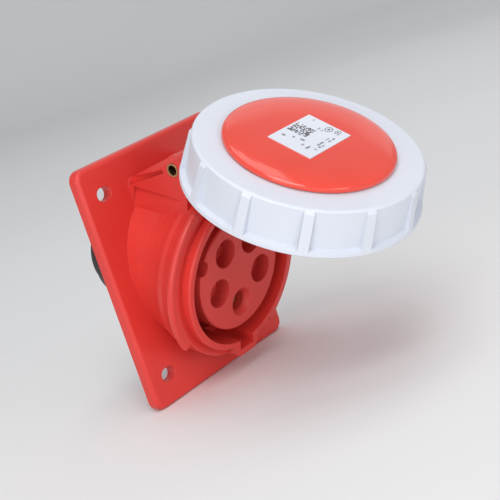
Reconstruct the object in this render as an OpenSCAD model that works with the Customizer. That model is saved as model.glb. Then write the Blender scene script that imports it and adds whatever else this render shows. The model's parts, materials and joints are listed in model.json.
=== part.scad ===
// Panel-mounting industrial socket, five-pole, with a hinged lid and a bayonet ring.
// The flange stands upright: its back face is the plane y = 0 and the socket faces -Y.
// The origin is the centre of the four fixing slots on the back face.

/* [Flange] */
// Width of the flange
flange_w = 90; // [88:1:110]
// Height of the flange
flange_h = 110.5; // [100:0.5:130]
// Thickness of the flange
flange_t = 5; // [4:0.5:8]
// Radius of the flange's corners
flange_corner_r = 5; // [3:0.5:7]
// Rounding of the flange's front edge
flange_edge_r = 2; // [1:0.25:3]
// Spacing of the fixing slots across the flange
fix_dx = 66; // [62:0.5:72]
// Spacing of the fixing slots up the flange
fix_dz = 84; // [80:0.5:96]
// Width of a fixing slot
fix_slot_w = 6; // [5:0.1:7]
// End-to-end length of a fixing slot
fix_slot_len = 8.4; // [7.4:0.1:10]
// Width of the panel gasket
gasket_w = 3; // [2.5:0.1:3.8]
// Depth of the panel gasket's groove
gasket_t = 1.8; // [1:0.1:2.5]

/* [Socket] */
// Downward tilt of the socket's axis
tilt = 19; // [16:0.5:21]
// Height at which the axis crosses the flange's back face
axis_z = 2.3; // [0:0.1:4]
// Inner radius of the collar that takes the plug's shroud
collar_r = 32.5; // [32:0.1:33]
// Wall of the collar's rim
rim_wall = 2.8; // [2.4:0.1:3.2]
// Distance of the rim's front along the axis
rim_front = 37.3; // [36.5:0.1:39]
// Depth of the space for the plug's shroud
shroud_depth = 35.3; // [32:0.1:36]
// Height of the rim in front of the collar's base
rim_proud = 3.8; // [3:0.1:4.5]
// How far the collar's base stands out from the rim
base_step = 3.4; // [3:0.1:4]
// Wall of the body where it meets the flange
body_wall = 1.9; // [1.8:0.1:2.6]
// Length of the body behind the flange's back face, along the axis
rear_len = 8; // [7.5:0.5:12]
// Width of the keyway
key_w = 9; // [7:0.1:10]
// Depth of the keyway outside the collar's bore
key_depth = 4.3; // [3.5:0.1:5]
// Wall round the keyway
key_wall = 2.9; // [2:0.1:3]

/* [Bayonet ramps] */
// Height of a ramp above the collar's base
ramp_h = 3.8; // [3.4:0.1:4.2]
// Thickness of a ramp along the axis
ramp_t = 3; // [2.6:0.1:3.2]
// Depth of the catch behind a ramp's edge
catch_h = 1.6; // [1.4:0.1:2]
// Length of a ramp round the axis
ramp_arc = 90; // [84:1:92]
// Angle at which the first ramp starts
ramp_start = 123; // [120:1:126]
// Thickness of a lug of the ring
lug_t = 1.6; // [1.2:0.1:2]
// Length of a lug round the axis
lug_arc = 24; // [18:1:26]

/* [Contacts] */
// Width of the ring-shaped space for the plug's shroud
shroud_gap = 6.2; // [5.8:0.1:6.6]
// Distance of the insert's face behind the rim
insert_sunk = 1.6; // [1:0.1:3]
// Distance of the circle that the contacts lie on inside the insert's side
contact_inset = 11.4; // [11:0.1:11.8]
// Radius of the recess round each contact
recess_r = 6.4; // [6:0.1:6.6]
// Depth of the recess at the phase and neutral contacts
recess_depth = 7.6; // [6:0.1:8]
// Radius of the hole in the floor of a recess
floor_hole_r = 4.7; // [4.4:0.1:5]
// Depth of the countersink at the earth contact
earth_sink_depth = 3; // [2:0.1:3.5]
// Radius of the earth contact's hole in front of its sleeve
earth_hole_r = 4.8; // [4.6:0.1:5]
// Bore of a phase or neutral sleeve
pole_bore_r = 3.05; // [3:0.01:3.1]
// Bore of the earth sleeve
earth_bore_r = 4.05; // [4:0.01:4.1]
// Wall of a contact sleeve
sleeve_wall = 1; // [0.8:0.1:1.1]
// Length of the slit part of a sleeve
sleeve_slit_len = 16; // [12:1:18]
// Distance of a pole's sleeve behind the insert's face
sleeve_sunk = 12; // [11.5:0.5:13]
// Distance of the earth sleeve behind the insert's face
earth_sleeve_sunk = 7; // [5:0.5:8.5]
// Radius of the notch in the insert's edge
notch_r = 3.4; // [3:0.1:4]

/* [Terminal block] */
// How far the block's side lies inside the insert's side
block_inset = 0.2; // [0.2:0.1:1]
// Length of the terminal block
block_len = 25; // [22:0.5:27]
// Length of the stepped rear end of the block
block_step = 5; // [3:0.5:6]
// Depth of the step at the block's rear end
block_step_in = 3; // [2:0.1:4]
// Length of a contact's terminal
term_len = 17; // [15:0.5:20]
// Radius of a terminal screw
term_screw_r = 2; // [1.8:0.1:2.3]
// Radius of a terminal's wire hole
wire_r = 2.7; // [2:0.1:2.9]

/* [Hinge] */
// Gap between the ring's edge and the line through the pin, with the lid closed
hinge_clear = 1.3; // [1:0.1:3]
// Distance of the hinge pin behind the ring's lower edge
hinge_drop = 9.7; // [9.5:0.1:11]
// Radius of the tubular hinge pin
pin_r = 3; // [2.6:0.1:3.2]
// Wall of the hinge pin
pin_wall = 0.8; // [0.5:0.1:1]
// How far the pin stands out of an ear
pin_proud = 0.3; // [0:0.1:0.5]
// Half the width across the hinge ears
ear_half_w = 19; // [18:0.1:21]
// Thickness of one hinge ear
ear_t = 5.2; // [4.5:0.1:6]
// Wall of an ear round the pin
ear_wall = 2.8; // [2.4:0.1:3.2]
// Wall of the lid's eye round the pin
eye_wall = 2.6; // [2.2:0.1:3]
// Angle that the lid has been opened by
lid_open = 75.8; // [60:0.1:76]

/* [Lid] */
// How far the cover's edge stands in front of the ring
cover_step = 1.3; // [1:0.1:2]
// Width of the ring that shows round the cover
ring_shown = 11.6; // [10.5:0.1:12.4]
// Height of the cover's dome
dome_h = 3.1; // [1:0.1:3.5]
// Thickness of the lid's plate
lid_plate_t = 4; // [3:0.1:4.5]
// Thickness of the lid's arm and of the skirt that carries it
arm_t = 3.3; // [3:0.1:3.5]
// Side play of the lid's hinge arm between the ears
arm_play = 0.4; // [0.3:0.05:0.8]
// Radius of the spigot that locates the cover
spigot_r = 16; // [12:0.5:17]
// Width of the label along the hinge
label_w = 27.6; // [22:0.1:30]
// Height of the label
label_h = 20.6; // [16:0.1:22]
// Distance of the label's centre from the cover's centre, along the hinge
label_shift = 1; // [0:0.1:2]
// Thickness of the label
label_t = 0.4; // [0.3:0.05:0.6]

/* [Bayonet ring] */
// Wall of the ring between two ribs
ring_wall = 3.4; // [3:0.1:4]
// How far the ring's lower edge stands out from that wall
ring_flare = 2.7; // [2:0.1:3.5]
// How far a rib's upper end stands out from that wall
ring_rib_h = 0.9; // [0.6:0.1:1.4]
// Height of the ring
ring_h = 19.3; // [18.8:0.1:20]
// Thickness of the ring's top
ring_top_t = 2.2; // [1.8:0.1:2.6]
// Height of the ledge under the pockets
ring_ledge_h = 2.6; // [2:0.1:4]
// Number of pockets round the ring
ring_pockets = 12; // [8:1:20]
// Width of a rib between two pockets
ring_rib_w = 4.2; // [2.5:0.1:6]
// Angle of the first rib
ring_rib_start = 6.5; // [0:0.5:15]

/* [Hidden] */
$fn = 64;

// Clearances
fit_gap = 0.03;      // running fit round a pin, on the radius
seat_gap = 0.25;     // between pieces of the lid and the ring that turns on it
axial_gap = 0.3;     // between the closed lid and the collar, along the axis
loose_gap = 0.5;     // round the insert in its opening, or the lid's skirt in the ring
catch_gap = 0.4;     // between a lug and the flare behind a ramp
cut = 0.5;           // how far a cutting body runs past a face
through = 200;       // length of a cutting body that runs right out

// Radii about the socket's axis
rim_r = collar_r + rim_wall;
base_r = rim_r + base_step;
ramp_r = base_r + ramp_h;
flare_r = ramp_r - catch_h;
body_r = collar_r + body_wall;
insert_r = collar_r - shroud_gap;
contact_circle_r = insert_r - contact_inset;
ring_bore_r = ramp_r + loose_gap + 0.2;
ring_top_r = ring_bore_r + ring_wall;
ring_bottom_r = ring_top_r + ring_flare;
arm_out_r = ring_bore_r - loose_gap;
arm_in_r = arm_out_r - arm_t;
hinge_v = ring_bottom_r + hinge_clear;
lug_in_r = flare_r + catch_gap;
cover_r = ring_top_r - ring_shown;
boss_r = cover_r - 2;
label_r = sqrt(pow(label_w / 2 + label_shift, 2) + label_h * label_h / 4) + 0.1;

// Distances along the socket's axis, with the lid closed
floor_s = rim_front - shroud_depth;
base_front = rim_front - rim_proud;
ramp_back = base_front - ramp_t;
catch_s = ramp_back - 1;
ring_bottom = ramp_back - axial_gap - lug_t;
ring_top = ring_bottom + ring_h;
lid_front = ring_top + cover_step;
hinge_s = ring_bottom - hinge_drop;
plate_front = ring_top - ring_top_t - seat_gap;
plate_back = plate_front - lid_plate_t;
boss_front = ring_top + seat_gap;

// Housing
ledge_t = 4;
ledge_bore_r = insert_r + loose_gap;
flare_back = 9;
rim_edge = 0.5;
ramp_edge = 1.2;
key_back = 16.5;
boss_half_w = key_w / 2 + 1;
boss_top_half_w = boss_half_w + 4;
rim_foot = 0.8;
groove_depth = 2.2;
relief_depth = 2.5;
behind = 50;
slot_half = (fix_slot_len - fix_slot_w) / 2;
gasket_r = body_r / cos(tilt) + 1.6;

// Hinge
hinge_y = -hinge_s * cos(tilt) - hinge_v * sin(tilt);
hinge_z = axis_z - hinge_s * sin(tilt) + hinge_v * cos(tilt);
ear_r = pin_r + ear_wall;
eye_r = pin_r + eye_wall;
arm_half_w = ear_half_w - ear_t - arm_play;
ear_front_y = hinge_y - ear_r;
ear_back_y = -flange_t + 1;
ear_slope = atan2(0.985 * ear_r + 1, ear_back_y - hinge_y + 0.16 * ear_r);
ear_chamfer = 2.2;
web_front_y = hinge_y + 8;
web_sunk = 0.5;
web_back_z = hinge_z - 1 - web_sunk;
web_front_z = web_back_z + (ear_back_y - web_front_y) * tan(ear_slope);

// Insert and contacts
insert_front = rim_front - insert_sunk;
insert_edge = 0.6;
insert_flange_t = 3;
seal_t = 1.2;
seal_s = floor_s - ledge_t;
insert_back = seal_s - seal_t - insert_flange_t;
pole_angle = [126, 54, -18, 198];
earth_angle = -90;
all_angles = concat(pole_angle, [earth_angle]);
hole_gap = 0.2;
floor_t = 3;
pole_floor_s = insert_front - recess_depth - floor_t;
earth_floor_s = insert_front - earth_sink_depth - floor_t;
hole_r = earth_bore_r + sleeve_wall + hole_gap;
shank_r = earth_bore_r + sleeve_wall;
screw_r = 1.25;
screw_head_r = 2.4;
screw_circle_r = (ledge_bore_r + collar_r) / 2 + 0.4;
screw_angles = [90, 210, 330];

// Terminal block
block_r = insert_r - block_inset;
block_back = insert_back - block_len;
term_front = insert_back - 1;
term_back = term_front - term_len;
term_screw_s = term_back + 5;
block_screw_r = 1.65;
block_screw_head_r = 3.2;
block_screw_deep = 9;

// Puts children, modelled along +Z, on the socket's tilted axis.
module on_socket() {
    translate([0, 0, axis_z]) rotate([90 + tilt, 0, 0]) children();
}

// Puts children, modelled in the socket's frame with the lid closed, where the open lid is.
module on_lid() {
    translate([0, hinge_y, hinge_z])
        rotate([-lid_open, 0, 0])
            translate([0, -hinge_y, -hinge_z])
                on_socket() children();
}

// A ring between two radii and two heights.
module band(r_in, r_out, z0, z1) {
    translate([0, 0, z0])
        difference() {
            cylinder(r = r_out, h = z1 - z0);
            translate([0, 0, -cut]) cylinder(r = r_in, h = z1 - z0 + 2 * cut);
        }
}

// A sector of a ring, from angle a0 through arc degrees.
module sector(r_in, r_out, z0, z1, a0, arc) {
    rotate_extrude(angle = arc, start = a0)
        translate([r_in, z0]) square([r_out - r_in, z1 - z0]);
}

// Moves children to the outside of the contact circle at an angle.
module at_contact(angle, r = contact_circle_r) {
    rotate([0, 0, angle]) translate([r, 0, 0]) children();
}

// Places an outline drawn in (y, z) as a plate across X.
module across(x0, x1) {
    translate([x0, 0, 0])
        rotate([90, 0, 90])
            linear_extrude(x1 - x0) children();
}

// ---- Housing ----

// One corner of the flange, with its front edge rounded.
module flange_corner() {
    steps = 5;
    inner = flange_corner_r - flange_edge_r;
    rotate_extrude($fn = 40)
        polygon(concat(
            [[0, 0], [flange_corner_r, 0]],
            [for (i = [0:steps])
                [inner + flange_edge_r * cos(90 * i / steps),
                 flange_t - flange_edge_r + flange_edge_r * sin(90 * i / steps)]],
            [[0, flange_t]]));
}

module flange() {
    rotate([90, 0, 0])
        hull()
            for (x = [-1, 1], z = [-1, 1])
                translate([x * (flange_w / 2 - flange_corner_r),
                           z * (flange_h / 2 - flange_corner_r), 0])
                    flange_corner();
}

// The round body and the collar, solid.
module body_core() {
    rotate_extrude($fn = 96)
        polygon([
            [0, -rear_len], [body_r, -rear_len], [body_r, 10], [body_r + 0.6, 14],
            [body_r + 1.8, 18], [base_r - 0.6, 22], [base_r, 26],
            [base_r, base_front - rim_edge], [base_r - rim_edge, base_front],
            [rim_r, base_front - rim_foot],
            [rim_r, rim_front - 2 * rim_edge],
            [rim_r - 0.3 * rim_edge, rim_front - rim_edge],
            [rim_r - rim_edge, rim_front - 0.3 * rim_edge],
            [rim_r - 2 * rim_edge, rim_front],
            [0, rim_front]
        ]);
}

// A bayonet ramp and the flare that carries it. A lug catches behind the ramp's slanted back.
module ramp(a0) {
    rotate_extrude(angle = ramp_arc, start = a0, $fn = 96)
        polygon(concat(
            [[base_r - 1, base_front - 0.3], [body_r - 1, catch_s], [body_r - 1, flare_back]],
            [for (t = [0:0.125:1])
                [body_r - 0.1 + (flare_r - body_r + 0.1) * pow(t, 1.7),
                 flare_back + (catch_s - flare_back) * t]],
            [[ramp_r, catch_s + catch_h], [ramp_r, base_front - ramp_edge],
             [ramp_r - 0.3 * ramp_edge, base_front - 0.3 * ramp_edge],
             [ramp_r - ramp_edge, base_front], [base_r - 1, base_front]]));
}

// The hinge ears' outline in the Y-Z plane.
module ear_outline() {
    translate([hinge_y, hinge_z]) circle(r = ear_r);
    polygon([
        [ear_back_y, hinge_z - 1], [hinge_y - 0.16 * ear_r, hinge_z + 0.985 * ear_r],
        [ear_front_y, hinge_z], [ear_front_y + 4, hinge_z - 7], [ear_front_y + 3.4, hinge_z - 13.5],
        [ear_front_y + 6, hinge_z - 20], [ear_back_y, hinge_z - 24]
    ]);
}

// The upper groove on an ear's side.
module ear_groove() {
    polygon([
        [-flange_t - 0.8, hinge_z - 0.4], [-flange_t - 0.8, hinge_z - 3.4],
        [hinge_y + 6, hinge_z - 0.6], [hinge_y + 6, hinge_z + 0.8]
    ]);
}

// The slanted facet below the raised triangular gusset on an ear's side.
module ear_relief() {
    translate([ear_half_w, -flange_t, hinge_z - 12.1])
        rotate([90 + 21, 0, 4.5])
            linear_extrude(27)
                polygon([[0, 0], [-relief_depth, 8.7], [0.3, 8.7], [0.3, 3]]);
}

// The slanted upper edge of an ear's side, level with the pin's eye.
module ear_edge() {
    translate([ear_half_w, ear_back_y, hinge_z - 1])
        rotate([-ear_slope, 0, 0])
            rotate([0, -45, 0])
                translate([-ear_chamfer / sqrt(2), -36, -6]) cube([8, 36, 12]);
}

// The web that joins the two ears behind the lid's eye.
module web_outline() {
    polygon([
        [ear_back_y, web_back_z], [ear_back_y, web_back_z - 3.5],
        [web_front_y, web_front_z - 4], [web_front_y, web_front_z]
    ]);
}

module hinge_block() {
    for (side = [0, 1])
        mirror([side, 0, 0])
            difference() {
                across(ear_half_w - ear_t, ear_half_w) ear_outline();
                across(ear_half_w - groove_depth, ear_half_w + cut) ear_groove();
                ear_relief();
                ear_edge();
            }
    across(-ear_half_w + ear_t / 2, ear_half_w - ear_t / 2) web_outline();
}

// The open space between the ears and behind the ring, for the lid's arm.
module arm_space() {
    w = arm_half_w + arm_play;
    translate([-w, base_r, hinge_s - eye_r - 1.2]) cube([2 * w, through, through]);
}

module key_boss() {
    bottom = -collar_r - key_depth - key_wall;
    translate([0, 0, key_back - key_wall])
        linear_extrude(rim_front - key_back + key_wall)
            polygon([
                [-boss_half_w, bottom], [boss_half_w, bottom],
                [boss_top_half_w, -collar_r - 1], [-boss_top_half_w, -collar_r - 1]
            ]);
}

module keyway() {
    translate([-key_w / 2, -collar_r - key_depth, key_back])
        cube([key_w, key_depth + 4, through]);
}

module fixing_slots() {
    for (x = [-1, 1], z = [-1, 1])
        translate([x * fix_dx / 2, cut, z * fix_dz / 2])
            rotate([90, 0, 0]) {
                for (e = [-1, 1])
                    translate([e * slot_half, 0, 0])
                        cylinder(r = fix_slot_w / 2, h = flange_t + 2 * cut);
                translate([-slot_half, -fix_slot_w / 2, 0])
                    cube([2 * slot_half, fix_slot_w, flange_t + 2 * cut]);
            }
}

// The groove for the gasket in the flange's back face.
module gasket_groove() {
    translate([0, cut, axis_z])
        rotate([90, 0, 0]) band(gasket_r, gasket_r + gasket_w, 0, gasket_t + cut);
}

module housing() {
    color([0.86, 0.16, 0.14])
    difference() {
        union() {
            flange();
            on_socket() {
                body_core();
                ramp(ramp_start);
                ramp(ramp_start + 180);
                key_boss();
            }
            hinge_block();
        }
        on_socket() {
            translate([0, 0, floor_s]) cylinder(r = collar_r, h = through, $fn = 96);
            translate([0, 0, -behind]) cylinder(r = ledge_bore_r, h = through);
            translate([0, 0, -behind]) cylinder(r = collar_r, h = seal_s + behind);
            keyway();
            arm_space();
            for (a = screw_angles) at_contact(a, screw_circle_r)
                translate([0, 0, seal_s - cut])
                    cylinder(r = screw_r + 0.05, h = 3 + cut, $fn = 24);
        }
        fixing_slots();
        gasket_groove();
        translate([-through / 2, hinge_y, hinge_z])
            rotate([0, 90, 0]) cylinder(r = pin_r + fit_gap, h = through);
    }
}

module flange_gasket() {
    color([0.1, 0.1, 0.1])
        translate([0, 0, axis_z])
            rotate([90, 0, 0]) band(gasket_r, gasket_r + gasket_w, 0, gasket_t);
}

// ---- Insert, contacts and terminals ----

module contact_insert() {
    color([0.8, 0.2, 0.18])
    on_socket() difference() {
        union() {
            translate([0, 0, insert_back])
                cylinder(r = insert_r, h = insert_front - insert_edge - insert_back, $fn = 96);
            translate([0, 0, insert_front - insert_edge])
                cylinder(r1 = insert_r, r2 = insert_r - insert_edge, h = insert_edge, $fn = 96);
            translate([0, 0, insert_back])
                cylinder(r = collar_r - 0.4, h = insert_flange_t, $fn = 96);
        }
        for (a = pole_angle) at_contact(a) {
            translate([0, 0, insert_front - recess_depth]) cylinder(r = recess_r, h = through);
            translate([0, 0, insert_back]) cylinder(r = floor_hole_r, h = through);
        }
        at_contact(earth_angle) {
            translate([0, 0, insert_front - earth_sink_depth])
                cylinder(r1 = earth_hole_r, r2 = recess_r, h = earth_sink_depth);
            translate([0, 0, insert_back]) cylinder(r = earth_hole_r, h = through);
        }
        for (a = all_angles) at_contact(a)
            translate([0, 0, insert_back - cut])
                cylinder(r = hole_r, h = (a == earth_angle ? earth_floor_s : pole_floor_s)
                                         - insert_back + cut);
        at_contact(155, insert_r)
            translate([0, 0, floor_s + 3]) cylinder(r = notch_r, h = through);
        for (a = screw_angles) at_contact(a, screw_circle_r)
            translate([0, 0, insert_back - cut])
                cylinder(r = screw_r + 0.35, h = insert_flange_t + 2 * cut, $fn = 24);
        translate([0, 0, insert_back - cut])
            cylinder(r = block_screw_r + 0.03, h = block_screw_deep, $fn = 24);
    }
}

module insert_seal() {
    color([0.12, 0.12, 0.12])
        on_socket() band(ledge_bore_r + 0.3, screw_circle_r - screw_r - 0.3, seal_s - seal_t, seal_s);
}

// A contact: slit sleeve in front, shank with a wire hole and a cross screw hole behind.
module contact(angle, bore_r, sunk) {
    front = insert_front - sunk;
    outer = bore_r + sleeve_wall;
    color([0.8, 0.62, 0.28])
    on_socket() at_contact(angle) difference() {
        union() {
            translate([0, 0, term_back]) cylinder(r = shank_r, h = term_len);
            translate([0, 0, term_back]) cylinder(r = outer, h = front - term_back);
        }
        translate([0, 0, front - sleeve_slit_len - 6]) cylinder(r = bore_r, h = through);
        for (t = [0, 90]) rotate([0, 0, t])
            translate([-outer - 1, -0.4, front - sleeve_slit_len])
                cube([2 * outer + 2, 0.8, through]);
        translate([0, 0, term_back - cut]) cylinder(r = wire_r, h = 10);
        translate([0, 0, term_screw_s]) rotate([0, 90, 0])
            cylinder(r = term_screw_r + fit_gap, h = shank_r + 1);
    }
}

module contact_l1() { contact(pole_angle[0], pole_bore_r, sleeve_sunk); }
module contact_l2() { contact(pole_angle[1], pole_bore_r, sleeve_sunk); }
module contact_l3() { contact(pole_angle[2], pole_bore_r, sleeve_sunk); }
module contact_n() { contact(pole_angle[3], pole_bore_r, sleeve_sunk); }
module contact_pe() { contact(earth_angle, earth_bore_r, earth_sleeve_sunk); }

// Spring clips round the slit sleeves of the poles.
module contact_clips() {
    outer = pole_bore_r + sleeve_wall;
    clip_front = insert_front - sleeve_sunk - 2;
    color([0.75, 0.75, 0.78])
    on_socket() for (a = pole_angle) at_contact(a)
        sector(outer, outer + 0.6, clip_front - 3, clip_front, 30, 320);
}

module terminal_block() {
    color([0.08, 0.07, 0.07])
    on_socket() difference() {
        union() {
            translate([0, 0, block_back + block_step])
                cylinder(r = block_r, h = block_len - block_step, $fn = 96);
            translate([0, 0, block_back])
                cylinder(r = block_r - block_step_in, h = block_len, $fn = 96);
        }
        for (a = all_angles) at_contact(a) {
            translate([0, 0, term_back]) cylinder(r = hole_r, h = through);
            translate([0, 0, block_back - cut]) cylinder(r = wire_r + 0.9, h = through);
            translate([0, 0, term_screw_s]) rotate([0, 90, 0])
                cylinder(r = term_screw_r + 0.7, h = through);
        }
        translate([0, 0, block_back - cut]) cylinder(r = block_screw_r + 0.05, h = through, $fn = 24);
        translate([0, 0, block_back - cut])
            cylinder(r = block_screw_head_r + 0.2, h = block_len - block_screw_deep + cut, $fn = 24);
    }
}

// Clamp screws of the five terminals, pointing inwards.
module terminal_screws() {
    tip = wire_r + 0.2;
    len = block_r - contact_circle_r - tip - 1.5;
    color([0.75, 0.75, 0.78])
    on_socket() for (a = all_angles) at_contact(a)
        translate([tip, 0, term_screw_s]) rotate([0, 90, 0]) difference() {
            cylinder(r = term_screw_r, h = len);
            translate([-3, -0.4, len - 1]) cube([6, 0.8, 3]);
        }
}

// Screws that hold the insert against the housing's ledge.
module insert_screws() {
    head = 1.8;
    color([0.75, 0.75, 0.78])
    on_socket() for (a = screw_angles) at_contact(a, screw_circle_r) difference() {
        union() {
            translate([0, 0, insert_back])
                cylinder(r = screw_r, h = insert_flange_t + seal_t + 2.5, $fn = 24);
            translate([0, 0, insert_back - head]) cylinder(r = screw_head_r, h = head, $fn = 32);
        }
        translate([-3, -0.35, insert_back - head - cut]) cube([6, 0.7, 0.8 + cut]);
    }
}

// The central screw that holds the terminal block to the insert.
module block_screws() {
    head = 2.5;
    seat = block_back + block_len - block_screw_deep;
    color([0.75, 0.75, 0.78])
    on_socket() {
        translate([0, 0, seat])
            cylinder(r = block_screw_r, h = 2 * block_screw_deep - 2, $fn = 24);
        difference() {
            translate([0, 0, seat - head]) cylinder(r = block_screw_head_r, h = head, $fn = 32);
            translate([-4, -0.5, seat - head - cut]) cube([8, 1, 1 + cut]);
        }
    }
}

// ---- Hinge, lid and ring ----

module hinge_pin() {
    len = 2 * (ear_half_w + pin_proud);
    color([0.78, 0.6, 0.35])
        translate([-len / 2, hinge_y, hinge_z])
            rotate([0, 90, 0]) band(pin_r - pin_wall, pin_r, 0, len);
}

// The arm runs down inside the ring, then out to the eye on the hinge pin.
module lid_arm() {
    w = 2 * arm_half_w;
    difference() {
        union() {
            intersection() {
                band(arm_in_r, arm_out_r, hinge_s - 2, plate_back);
                translate([-arm_half_w, 0, 0]) cube([w, through, through]);
            }
            hull() {
                translate([-arm_half_w, hinge_v, hinge_s]) rotate([0, 90, 0])
                    cylinder(r = eye_r, h = w, $fn = 32);
                translate([-arm_half_w, arm_in_r + 0.8, hinge_s - 3])
                    cube([w, 1.5, 7.5]);
            }
        }
        translate([-arm_half_w - cut, hinge_v, hinge_s]) rotate([0, 90, 0])
            cylinder(r = pin_r + 2 * fit_gap, h = w + 2 * cut);
    }
}

module lid_body() {
    color([0.86, 0.16, 0.14])
    on_lid() difference() {
        union() {
            translate([0, 0, plate_back]) cylinder(r = arm_out_r, h = lid_plate_t, $fn = 96);
            translate([0, 0, plate_front])
                cylinder(r = boss_r - seat_gap, h = boss_front - plate_front, $fn = 96);
            band(rim_r + 1, arm_out_r, base_front + 0.8, plate_back);
            lid_arm();
        }
        translate([0, 0, plate_back - cut]) cylinder(r = collar_r - 2, h = 1.2 + cut, $fn = 96);
        translate([-boss_top_half_w - 0.8, -through, base_front])
            cube([2 * boss_top_half_w + 1.6, through - collar_r / 2, rim_front + 0.6 - base_front]);
        translate([0, 0, boss_front - 1.6]) cylinder(r = spigot_r + 0.1, h = through);
    }
}

module lid_seal() {
    color([0.12, 0.12, 0.12])
        on_lid() band(collar_r - 1.5, rim_r + 0.8, rim_front + axial_gap, plate_back);
}

// The domed cover that keeps the ring on the lid, flat where the label lies.
module lid_cover() {
    dome_w = cover_r - label_r;
    color([0.9, 0.22, 0.18])
    on_lid() {
        rotate_extrude($fn = 96)
            polygon(concat(
                [[0, boss_front], [cover_r - 0.4, boss_front], [cover_r, boss_front + 0.4]],
                [for (i = [0:10])
                    let (x = 1 - pow(i / 10, 2))
                    [label_r + dome_w * x, lid_front + dome_h * pow(1 - pow(x, 2.5), 0.4)]],
                [[0, lid_front + dome_h]]));
        translate([0, 0, boss_front - 1.5]) cylinder(r = spigot_r, h = 2);
    }
}

module ring_shell() {
    rib_top_r = ring_top_r + ring_rib_h;
    rotate_extrude($fn = 96)
        polygon([
            [ring_bore_r, ring_bottom], [ring_bottom_r - 0.4, ring_bottom],
            [ring_bottom_r, ring_bottom + 0.4],
            [rib_top_r, ring_top - 1.8], [ring_top_r, ring_top - 0.7], [ring_top_r - 0.4, ring_top - 0.2],
            [ring_top_r - 1, ring_top],
            [boss_r, ring_top], [boss_r, ring_top - ring_top_t], [ring_bore_r, ring_top - ring_top_t]
        ]);
}

// One pocket in the ring's outside, between two ribs.
module ring_pocket() {
    arc = 360 / ring_pockets - ring_rib_w / ring_bottom_r * 180 / PI;
    rotate([0, 0, -arc / 2])
        rotate_extrude(angle = arc)
            polygon([
                [ring_top_r, ring_bottom + ring_ledge_h],
                [ring_bottom_r + 1, ring_bottom + ring_ledge_h - 0.8],
                [ring_bottom_r + 1, ring_top + 1], [ring_top_r, ring_top + 1]
            ]);
}

module bayonet_ring() {
    lug_start = ramp_start + ramp_arc + 8;
    color([0.92, 0.93, 0.95])
    on_lid() {
        difference() {
            ring_shell();
            for (i = [0:ring_pockets - 1])
                rotate([0, 0, ring_rib_start + (i + 0.5) * 360 / ring_pockets]) ring_pocket();
        }
        for (a = [lug_start, lug_start + 180]) lug(a);
    }
}

// A lug inside the ring, with the slant of the ramp's back on its front.
module lug(a) {
    out_r = ring_bore_r + 0.5;
    front_s = catch_s - axial_gap * 1.5 + lug_in_r - flare_r;
    rotate_extrude(angle = lug_arc, start = a, $fn = 96)
        polygon([
            [lug_in_r, ring_bottom], [out_r, ring_bottom],
            [out_r, front_s + out_r - lug_in_r], [lug_in_r, front_s]
        ]);
}

module label_plate() {
    color([0.87, 0.88, 0.92])
        on_lid() translate([-label_w / 2 - label_shift, -label_h / 2, lid_front + dome_h])
            cube([label_w, label_h, label_t]);
}

housing();
flange_gasket();
contact_insert();
insert_seal();
terminal_block();
contact_l1();
contact_l2();
contact_l3();
contact_n();
contact_pe();
contact_clips();
terminal_screws();
insert_screws();
block_screws();
hinge_pin();
lid_body();
lid_seal();
lid_cover();
bayonet_ring();
label_plate();
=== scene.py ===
"""Looks of the industrial panel socket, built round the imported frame."""
import json
import math

import bpy
import numpy as np
from mathutils import Matrix, Vector


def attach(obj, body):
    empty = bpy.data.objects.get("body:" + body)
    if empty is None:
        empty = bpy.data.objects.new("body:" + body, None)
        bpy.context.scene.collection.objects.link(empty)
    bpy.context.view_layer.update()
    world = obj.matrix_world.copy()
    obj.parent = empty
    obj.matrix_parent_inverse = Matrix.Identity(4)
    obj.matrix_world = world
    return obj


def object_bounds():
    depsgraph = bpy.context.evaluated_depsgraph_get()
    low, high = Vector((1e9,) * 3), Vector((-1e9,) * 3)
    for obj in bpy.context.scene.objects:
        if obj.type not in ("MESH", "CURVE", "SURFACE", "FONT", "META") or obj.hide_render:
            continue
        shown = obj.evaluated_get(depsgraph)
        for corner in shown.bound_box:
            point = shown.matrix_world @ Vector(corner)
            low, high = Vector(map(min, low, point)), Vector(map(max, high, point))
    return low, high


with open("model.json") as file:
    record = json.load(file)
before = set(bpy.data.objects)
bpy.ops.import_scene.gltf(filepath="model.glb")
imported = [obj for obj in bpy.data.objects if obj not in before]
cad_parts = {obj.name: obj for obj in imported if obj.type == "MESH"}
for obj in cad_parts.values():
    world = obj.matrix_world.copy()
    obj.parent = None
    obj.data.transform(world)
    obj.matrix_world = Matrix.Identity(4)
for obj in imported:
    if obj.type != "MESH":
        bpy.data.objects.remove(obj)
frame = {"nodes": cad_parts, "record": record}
cad_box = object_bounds()
nodes = frame["nodes"]
record = frame["record"]
scene = bpy.context.scene
scene.view_settings.view_transform = "Standard"

# The photograph's view, fitted once: angles in degrees, place in metres, lens and sensor in millimetres
VIEW_AZIMUTH, VIEW_ELEVATION, VIEW_ROLL = -45.68, 13.44, -18.40
VIEW_PLACE = (-0.3852, -0.4198, 0.1285)
VIEW_LENS, VIEW_SENSOR = 93.6, 36


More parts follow.
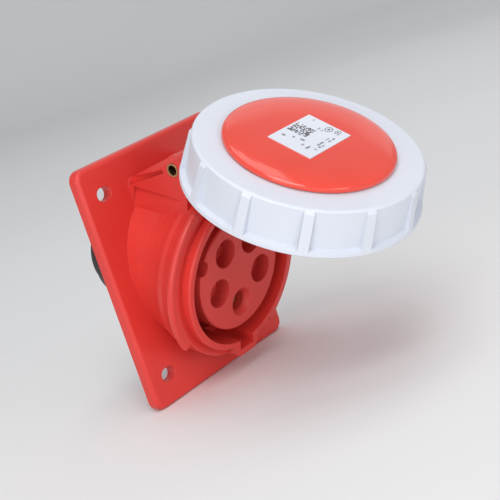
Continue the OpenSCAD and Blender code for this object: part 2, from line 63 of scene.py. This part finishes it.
# ---------- camera ----------
def camera():
    """Looks along the photograph's direction, rolled as the photograph is."""
    az, el, roll = (math.radians(a) for a in (VIEW_AZIMUTH, VIEW_ELEVATION, VIEW_ROLL))
    back = Vector((math.sin(az) * math.cos(el), -math.cos(az) * math.cos(el), math.sin(el)))
    side = Vector((math.cos(az), math.sin(az), 0))
    up = back.cross(side)
    right = side * math.cos(roll) + up * math.sin(roll)
    top = up * math.cos(roll) - side * math.sin(roll)
    data = bpy.data.cameras.new("camera")
    data.lens = VIEW_LENS
    data.sensor_width = VIEW_SENSOR
    data.clip_start = 0.05
    data.clip_end = 20
    cam = bpy.data.objects.new("camera", data)
    scene.collection.objects.link(cam)
    rows = [[right[i], top[i], back[i]] for i in range(3)]
    cam.matrix_world = Matrix.Translation(VIEW_PLACE) @ Matrix(rows).to_4x4()
    scene.camera = cam


# ---------- materials ----------
class Mat:
    """A small helper that strings shader nodes together."""

    def __init__(self, name, **values):
        self.mat = bpy.data.materials.new(name)
        self.mat.use_nodes = True
        self.tree = self.mat.node_tree
        self.bsdf = self.tree.nodes["Principled BSDF"]
        for key, value in values.items():
            self.bsdf.inputs[key.replace("_", " ")].default_value = value
        self.coord = self.node("ShaderNodeTexCoord").outputs["Object"]

    def node(self, kind, **settings):
        made = self.tree.nodes.new(kind)
        for key, value in settings.items():
            setattr(made, key, value)
        return made

    def link(self, out, into):
        self.tree.links.new(out, into)

    def noise(self, scale, detail=3.0, rough=0.5):
        made = self.node("ShaderNodeTexNoise")
        made.inputs["Scale"].default_value = scale
        made.inputs["Detail"].default_value = detail
        made.inputs["Roughness"].default_value = rough
        self.link(self.coord, made.inputs["Vector"])
        return made.outputs["Fac"]

    def ramp(self, fac, low, high, at=(0.3, 0.7)):
        made = self.node("ShaderNodeValToRGB")
        for element, pos, colour in zip(made.color_ramp.elements, at, (low, high)):
            element.position = pos
            element.color = (*colour, 1)
        self.link(fac, made.inputs["Fac"])
        return made.outputs["Color"]

    def span(self, fac, low, high):
        made = self.node("ShaderNodeMapRange")
        made.inputs["To Min"].default_value = low
        made.inputs["To Max"].default_value = high
        self.link(fac, made.inputs["Value"])
        return made.outputs["Result"]

    def bump(self, height, strength, distance, edge=0.0):
        made = self.node("ShaderNodeBump")
        made.inputs["Strength"].default_value = strength
        made.inputs["Distance"].default_value = distance
        self.link(height, made.inputs["Height"])
        if edge:
            bevel = self.node("ShaderNodeBevel", samples=6)
            bevel.inputs["Radius"].default_value = edge
            self.link(bevel.outputs["Normal"], made.inputs["Normal"])
        self.link(made.outputs["Normal"], self.bsdf.inputs["Normal"])


def moulded(name, low, high, rough, spread=0.06, grain=0.000012, edge=0.0004, **values):
    """Moulded plastic: slow colour drift, uneven gloss and a very fine grain."""
    m = Mat(name, **values)
    m.link(m.ramp(m.noise(28, 4), low, high), m.bsdf.inputs["Base Color"])
    m.link(m.span(m.noise(160, 5, 0.6), rough - spread, rough + spread), m.bsdf.inputs["Roughness"])
    m.bump(m.noise(2200, 2), 0.35, grain, edge)
    return m.mat


def metal(name, low, high, rough, streak=(400, 40, 40)):
    """Metal with faint drawn streaks."""
    m = Mat(name, Metallic=1.0)
    mapping = m.node("ShaderNodeMapping")
    mapping.inputs["Scale"].default_value = streak
    m.link(m.coord, mapping.inputs["Vector"])
    noise = m.node("ShaderNodeTexNoise")
    noise.inputs["Scale"].default_value = 6
    noise.inputs["Detail"].default_value = 5
    m.link(mapping.outputs["Vector"], noise.inputs["Vector"])
    fac = noise.outputs["Fac"]
    m.link(m.ramp(fac, low, high), m.bsdf.inputs["Base Color"])
    m.link(m.span(fac, rough - 0.08, rough + 0.08), m.bsdf.inputs["Roughness"])
    m.bump(fac, 0.2, 0.00001, 0.0002)
    return m.mat


MATERIALS = {
    "housing_red": moulded("housing_red", (0.66, 0.036, 0.028), (0.72, 0.046, 0.036), 0.36),
    "insert_red": moulded("insert_red", (0.62, 0.044, 0.036), (0.68, 0.054, 0.045), 0.55),
    "cover_red": moulded("cover_red", (0.76, 0.060, 0.036), (0.80, 0.070, 0.044), 0.16, 0.02,
                         0.000003, Coat_Weight=0.30, Coat_Roughness=0.05),
    "ring_white": moulded("ring_white", (0.66, 0.69, 0.77), (0.69, 0.72, 0.79), 0.38, 0.05),
    "black_plastic": moulded("black_plastic", (0.012, 0.010, 0.010), (0.022, 0.019, 0.019), 0.45),
    "seal_rubber": moulded("seal_rubber", (0.018, 0.018, 0.019), (0.030, 0.030, 0.031), 0.75,
                           0.06, 0.00003),
    "contact_brass": metal("contact_brass", (0.62, 0.40, 0.15), (0.74, 0.52, 0.22), 0.30),
    "pin_brass": metal("pin_brass", (0.50, 0.34, 0.16), (0.62, 0.44, 0.22), 0.34),
    "screw_steel": metal("screw_steel", (0.50, 0.50, 0.51), (0.62, 0.62, 0.63), 0.32),
    "label_film": moulded("label_film", (0.70, 0.72, 0.80), (0.74, 0.76, 0.83), 0.35, 0.05,
                          0.000005, 0.0001),
}


def dress_nodes():
    """Gives every CAD node the material of its slot in the record."""
    for sub in record["subparts"]:
        obj = nodes[sub["node"]]
        obj.data.materials.clear()
        obj.data.materials.append(MATERIALS[sub["material_slot"]])


# ---------- stage ----------
def stage():
    """A pale floor under the part that bends up into a wall behind it, square to the view."""
    low = cad_box[0][2]
    size, back, bend, wall, steps = 3.0, 1.4, 0.7, 3.0, 60
    verts, faces = [], []
    path = [(-size, 0.0), (back, 0.0)]
    for i in range(1, steps + 1):
        t = math.pi / 2 * i / steps
        path.append((back + bend * math.sin(t), bend - bend * math.cos(t)))
    path.append((back + bend, wall))
    turn = math.radians(VIEW_AZIMUTH)
    for across in (-size, size):
        for along, up in path:
            verts.append((across * math.cos(turn) - along * math.sin(turn),
                          across * math.sin(turn) + along * math.cos(turn), low + up))
    k = len(path)
    for i in range(k - 1):
        faces.append((i, i + 1, k + i + 1, k + i))
    mesh = bpy.data.meshes.new("floor")
    mesh.from_pydata(verts, [], faces)
    for poly in mesh.polygons:
        poly.use_smooth = True
    floor = bpy.data.objects.new("floor", mesh)
    scene.collection.objects.link(floor)
    m = Mat("floor", Roughness=0.9)
    m.link(m.ramp(m.noise(3), (0.80, 0.80, 0.80), (0.83, 0.83, 0.83)), m.bsdf.inputs["Base Color"])
    mesh.materials.append(m.mat)


# Area lights: name, place, aim, size, power in watts, turn about their own axis in degrees
LIGHTS = (
    ("key", (-0.9, -0.9, 1.3), (0, -0.05, 0), (0.9, 0.9), 11.5, 0),
    ("top", (0.1, -0.2, 1.4), (0, -0.06, 0), (1.0, 0.8), 4.5, 0),
    ("front", (-0.35, -1.3, 0.18), (0, -0.03, 0), (1.1, 0.5), 4.5, 0),
    ("left", (-1.3, -0.3, 0.25), (0, -0.03, 0), (0.8, 0.8), 5, 0),
    # the upper edge of the card makes the line across the gloss of the lid's disc
    ("card", (0.95, 0.41, 0.82), (0, 0.41, 0.82), (1.35, 0.55), 1.0, 49),
)
WORLD_COLOUR, WORLD_STRENGTH = (0.95, 0.97, 1.0, 1), 0.42


def area_light(name, place, aim, size, energy, turn):
    data = bpy.data.lights.new(name, "AREA")
    data.shape = "RECTANGLE"
    data.size, data.size_y = size
    data.energy = energy
    light = bpy.data.objects.new(name, data)
    scene.collection.objects.link(light)
    light.location = place
    way = (Vector(aim) - Vector(place)).normalized()
    facing = way.to_track_quat("-Z", "Y").to_matrix() @ Matrix.Rotation(math.radians(turn), 3, "Z")
    light.rotation_euler = facing.to_euler()


def lighting():
    """An even pale world and soft area lights."""
    world = bpy.data.worlds.new("world")
    world.use_nodes = True
    background = world.node_tree.nodes["Background"]
    background.inputs["Color"].default_value = WORLD_COLOUR
    background.inputs["Strength"].default_value = WORLD_STRENGTH
    scene.world = world
    for light in LIGHTS:
        area_light(*light)


# ---------- label ----------
# Places and sizes on the label are shares of its half width (x) and half height (v, towards the hinge)
BLOCK_LOW, BLOCK_HIGH = (-0.30, 0.04), (0.32, 0.90)
BLOCK_CELLS = 13
CELL_CHANCE, CELL_LAP = 0.55, 0.05
# Rows of small marks: x, v, width, height
ROWS = (
    (0.40, 0.06, 0.20, 0.07), (0.45, -0.10, 0.12, 0.05), (-0.78, 0.62, 0.16, 0.14),
    (-0.58, 0.30, 0.10, 0.12), (-0.50, -0.10, 0.10, 0.26), (-0.74, -0.26, 0.12, 0.10),
    (-0.80, -0.52, 0.22, 0.10), (-0.62, -0.80, 0.30, 0.12), (-0.36, -0.66, 0.34, 0.09),
    (-0.30, -0.82, 0.12, 0.07), (0.10, -0.78, 0.34, 0.09), (0.10, -0.62, 0.20, 0.05),
    (0.62, -0.70, 0.10, 0.10), (0.78, 0.58, 0.10, 0.07),
)
MARK_PITCH, MARK_FILL, MARK_CHANCE = 0.055, 0.72, 0.82
# Round marks: x, v, radius in metres
ROUNDS = ((0.72, -0.20, 0.0021), (0.80, -0.56, 0.0017))
ROUND_SQUASH, ROUND_RIM, ROUND_DOT, ROUND_SIDES = 0.75, 0.78, 0.36, 28
PRINT_LIFT = 0.00002


def lid_axes():
    """The ring's centre, and the lid's axes: along the hinge, towards the hinge, out of the lid."""
    joint = next(j for j in record["behaviour"]["joints"] if j["name"] == "ring_turn")
    normal = Vector(joint["axis"]).normalized()
    across = Vector((1, 0, 0))
    inward = normal.cross(across).normalized()
    return Vector(joint["pos_m"]), across, inward, normal


def block_boxes(rng):
    """The block of small squares, some of them left out, as (low x, high x, low v, high v)."""
    (x0, v0), (x1, v1) = BLOCK_LOW, BLOCK_HIGH
    w, h = (x1 - x0) / BLOCK_CELLS, (v1 - v0) / BLOCK_CELLS
    lap = 1 + CELL_LAP
    return [(x0 + i * w, x0 + (i + lap) * w, v0 + j * h, v0 + (j + lap) * h)
            for i in range(BLOCK_CELLS) for j in range(BLOCK_CELLS) if rng.random() < CELL_CHANCE]


def row_boxes(rng):
    """The rows of small bars of uneven height, some of them left out."""
    boxes = []
    for x, v, w, h in ROWS:
        count = max(1, round(w / MARK_PITCH))
        step = w / count
        for k in range(count):
            if rng.random() < MARK_CHANCE:
                tall = h * rng.uniform(0.7, 1.0)
                boxes.append((x + k * step, x + (k + MARK_FILL) * step, v, v + tall))
    return boxes


def label_print():
    """Generic print on the label: a block of small squares, bars and two rounds, with no lettering."""
    centre, across, inward, normal = lid_axes()
    label = [v.co for v in nodes["label_plate"].data.vertices]
    top = max((v - centre).dot(normal) for v in label) + PRINT_LIFT
    half_x = max((v - centre).dot(across) for v in label)
    half_v = max((v - centre).dot(inward) for v in label)
    verts, faces = [], []

    def point(x, v):
        verts.append(centre + across * x + inward * v + normal * top)
        return len(verts) - 1

    def circle(x, v, r):
        turns = [2 * math.pi * i / ROUND_SIDES for i in range(ROUND_SIDES)]
        return [point(x * half_x + r * math.cos(t), v * half_v + ROUND_SQUASH * r * math.sin(t))
                for t in turns]

    rng = np.random.default_rng(7)
    for xa, xb, va, vb in block_boxes(rng) + row_boxes(rng):
        corners = ((xa, va), (xb, va), (xb, vb), (xa, vb))
        faces.append(tuple(point(x * half_x, v * half_v) for x, v in corners))
    for x, v, r in ROUNDS:
        outer, inner = circle(x, v, r), circle(x, v, r * ROUND_RIM)
        for i in range(ROUND_SIDES):
            j = (i + 1) % ROUND_SIDES
            faces.append((outer[i], outer[j], inner[j], inner[i]))
        faces.append(tuple(circle(x, v, r * ROUND_DOT)))
    mesh = bpy.data.meshes.new("label_print")
    mesh.from_pydata(verts, [], faces)
    mesh.materials.append(moulded("label_ink", (0.10, 0.10, 0.12), (0.16, 0.16, 0.18), 0.45, 0.05,
                                  0.000002, 0.0))
    made = bpy.data.objects.new("label_print", mesh)
    scene.collection.objects.link(made)
    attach(made, "lid")


camera()
dress_nodes()
label_print()
stage()
lighting()
